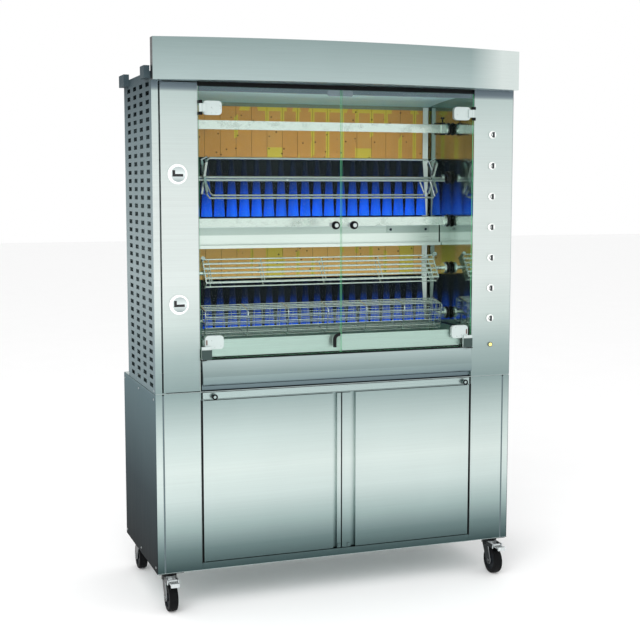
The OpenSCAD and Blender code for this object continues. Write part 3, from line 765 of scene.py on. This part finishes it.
def oven_trim():
    """The upright in the oven's rear right corner, a black strip as painted shadow in the sill gap, and
    the roof's rear edge.
    """
    upright = bmesh.new()
    outline = [(0.499, BRICK_Y - 0.006, 0), (0.519, BRICK_Y - 0.012, 0),
               (0.519, BRICK_Y - 0.010, 0), (0.499, BRICK_Y - 0.004, 0)]
    for low, high in ((1.356, 1.812), (0.905, 1.266)):
        add_prism(upright, outline, (0, 0, low), (0, 0, high))
    finish_piece(upright, "corner_upright", "cabinet", MATERIALS["upright"])
    # Painted shadow: a black strip stands for the shade in the gap at the window's sill.
    gap = bmesh.new()
    add_plate(gap, (-0.515, 0.515), (FRONT_Y + 0.0143, FRONT_Y + 0.0154), (0.8905, 0.9015))
    finish_piece(gap, "sill_gap_shadow_strip", "cabinet", MATERIALS["black"])
    tail = bmesh.new()
    add_plate(tail, (-0.526, 0.526), (BRICK_Y - 0.0045, BRICK_Y - 0.0030), (1.8005, 1.8150))
    finish_piece(tail, "roof_tail", "cabinet", MATERIALS["tail"])


def ball_reflection_caps():
    """Black shells over the two ball knobs, a painted dark reflection round the chrome balls' edges; the
    bright ball shows in their middle.
    """
    profile = [(0.0080, 0.0050), (0.0120, 0.0062), (0.0180, 0.0075), (0.0230, 0.0125),
               (0.0300, 0.0148), (0.0380, 0.0146), (0.0440, 0.0118), (0.0462, 0.0085),
               (0.0440, 0.0076), (0.0400, 0.0090), (0.0300, 0.0100), (0.0200, 0.0050)]
    for name, side in SIDES:
        mesh = bmesh.new()
        # Painted reflection: black shells stand for the dark surroundings mirrored at the balls' edges.
        add_lathe(mesh, profile, (side * 0.035, FRONT_Y, 1.360), (0, -1, 0))
        finish_piece(mesh, f"ball_reflection_cap_{name}", f"glass_door_{name}",
                     MATERIALS["black"], smooth=True)


def hook():
    """The curved black hook on the left pane, in place of its plain solid."""
    mesh = bmesh.new()
    steps = 12
    points = []
    for step in range(steps + 1):
        t = step / steps
        bend = math.radians(90 * min(1.0, t * 1.6))
        x = -0.007 - 0.020 * math.sin(bend)
        z = 0.9640 - 0.018 * (1 - math.cos(bend)) - max(0.0, t - 0.625) * 0.075
        points.append((x, FRONT_Y - 0.004, z))
    add_tube(mesh, points, 0.0066, 12)
    piece = finish_piece(mesh, "door_hook_bar", "glass_door_left",
                         MATERIALS["black"], smooth=True)
    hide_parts("door_hook")


def clamp_slots():
    """The small dark slot near the outer edge of each glass clamp."""
    outline = [(0.5022, -0.008), (0.5030, -0.009), (0.5062, -0.009), (0.5070, -0.008),
               (0.5070, 0.008), (0.5062, 0.009), (0.5030, 0.009), (0.5022, 0.008)]
    for name, side in SIDES:
        mesh = bmesh.new()
        for height in (0.954, 1.766):
            profile = [(side * x, 0, height + z) for x, z in outline]
            add_prism(mesh, profile, (0, FRONT_Y - 0.0036, 0), (0, FRONT_Y - 0.0028, 0))
        finish_piece(mesh, f"clamp_slot_{name}", f"glass_door_{name}",
                     MATERIALS["slot"])


def shelf_knob_rings():
    """Black rings round the two small knobs of the pull-out shelf."""
    mesh = bmesh.new()
    profile = [(0.0120, 0.0050), (0.0120, 0.0086), (0.0136, 0.0102), (0.0168, 0.0102),
               (0.0182, 0.0086), (0.0182, 0.0058), (0.0150, 0.0046)]
    for x in (-0.480, 0.497):
        add_lathe(mesh, profile, (x, FRONT_Y, 0.762), (0, -1, 0))
    finish_piece(mesh, "shelf_knob_rings", "pull_shelf",
                 MATERIALS["black"], smooth=True)


def door_seals():
    """Black seals on the posts, beside the hinge edges of the base doors."""
    for name, side in SIDES:
        low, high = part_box(f"base_door_{name}")
        edge = high[0] if side > 0 else low[0]
        mesh = bmesh.new()
        across = (edge + side * 0.0046, edge + side * 0.0080)
        add_plate(mesh, across, (FRONT_Y - 0.0012, FRONT_Y - 0.0006), (low[2], high[2]))
        finish_piece(mesh, f"door_seal_{name}", "cabinet", MATERIALS["black"])


def post_seams():
    """Grey fillers in the joints between the base's corner strips and its posts."""
    mesh = bmesh.new()
    for _, side in SIDES:
        across = (side * POST_SEAM[0], side * POST_SEAM[1])
        add_plate(mesh, across, (FRONT_Y + 0.0004, FRONT_Y + 0.0012), (0.1410, 0.7740))
    finish_piece(mesh, "post_seams", "cabinet", MATERIALS["seam"])


def pivot_shoes():
    """Grey covers on the lower pivot shoes of the glass doors."""
    x0, x1 = 0.4885, 0.5250
    z0, z1 = 0.8950, 0.9290
    cut = 0.003
    outline = [(x0 + cut, z0), (x1 - cut, z0), (x1, z0 + cut), (x1, z1), (x0, z1), (x0, z0 + cut)]
    for name, side in SIDES:
        mesh = bmesh.new()
        profile = [(side * x, 0, z) for x, z in outline]
        add_prism(mesh, profile, (0, FRONT_Y - 0.0135, 0), (0, FRONT_Y - 0.0121, 0))
        finish_piece(mesh, f"pivot_cover_{name}", f"glass_door_{name}",
                     MATERIALS["shoe"])


# ---------------------------------------------------------------- stage, light and camera

def stage():
    """The plain pale floor."""
    mesh = bmesh.new()
    bmesh.ops.create_grid(mesh, x_segments=2, y_segments=2, size=30.0)
    data = bpy.data.meshes.new("floor")
    mesh.to_mesh(data)
    mesh.free()
    floor = bpy.data.objects.new("floor", data)
    bpy.context.collection.objects.link(floor)
    graph = Graph("floor_white")
    grain = graph.noise(3.0)
    graph.set(Base_Color=graph.mix(grain, (0.93, 0.93, 0.93, 1), (0.95, 0.95, 0.95, 1)), Roughness=0.9)
    graph.set(Specular_IOR_Level=0.1)
    data.materials.append(graph.material)


def area_light(name, position, target, size, power):
    """A soft rectangular light that reflections don't show."""
    data = bpy.data.lights.new(name, "AREA")
    data.shape = "RECTANGLE"
    data.size, data.size_y = size
    data.energy = power
    light = bpy.data.objects.new(name, data)
    light.location = position
    direction = Vector(target) - Vector(position)
    light.rotation_euler = direction.to_track_quat("-Z", "Y").to_euler()
    light.visible_glossy = False
    bpy.context.collection.objects.link(light)


def lights():
    """An even white studio, a large key light from the upper left and a fill towards the oven."""
    world = bpy.data.worlds.new("studio")
    world.use_nodes = True
    background = world.node_tree.nodes["Background"]
    background.inputs["Color"].default_value = (1, 1, 1, 1)
    background.inputs["Strength"].default_value = 1.0
    bpy.context.scene.world = world
    area_light("key", (-3.0, -5.0, 5.0), (0, 0, 1.0), (5, 5), 260)
    area_light("oven_fill", (0.6, -4.6, 1.3), (0, 0.1, 1.35), (2.4, 1.6), 30)


def camera():
    """The photograph's viewing angle: from the left, a little above the middle."""
    data = bpy.data.cameras.new("camera")
    data.sensor_width = 36.0
    data.lens = 68.16
    eye = Vector((-1.5615, -4.0901 + FRONT_Y, 1.490))
    turn, down = math.radians(19.877), math.radians(6.1865)
    view = Vector((math.sin(turn) * math.cos(down), math.cos(turn) * math.cos(down), -math.sin(down)))
    shot = bpy.data.objects.new("camera", data)
    shot.location = eye
    shot.rotation_euler = view.to_track_quat("-Z", "Y").to_euler()
    bpy.context.collection.objects.link(shot)
    bpy.context.scene.camera = shot


bpy.context.scene.view_settings.view_transform = "Standard"
dress_nodes()
basket_mesh()
couplings()
clamp_wires()
oven_trim()
ball_reflection_caps()
hook()
clamp_slots()
shelf_knob_rings()
door_seals()
post_seams()
pivot_shoes()
stage()
lights()
camera()
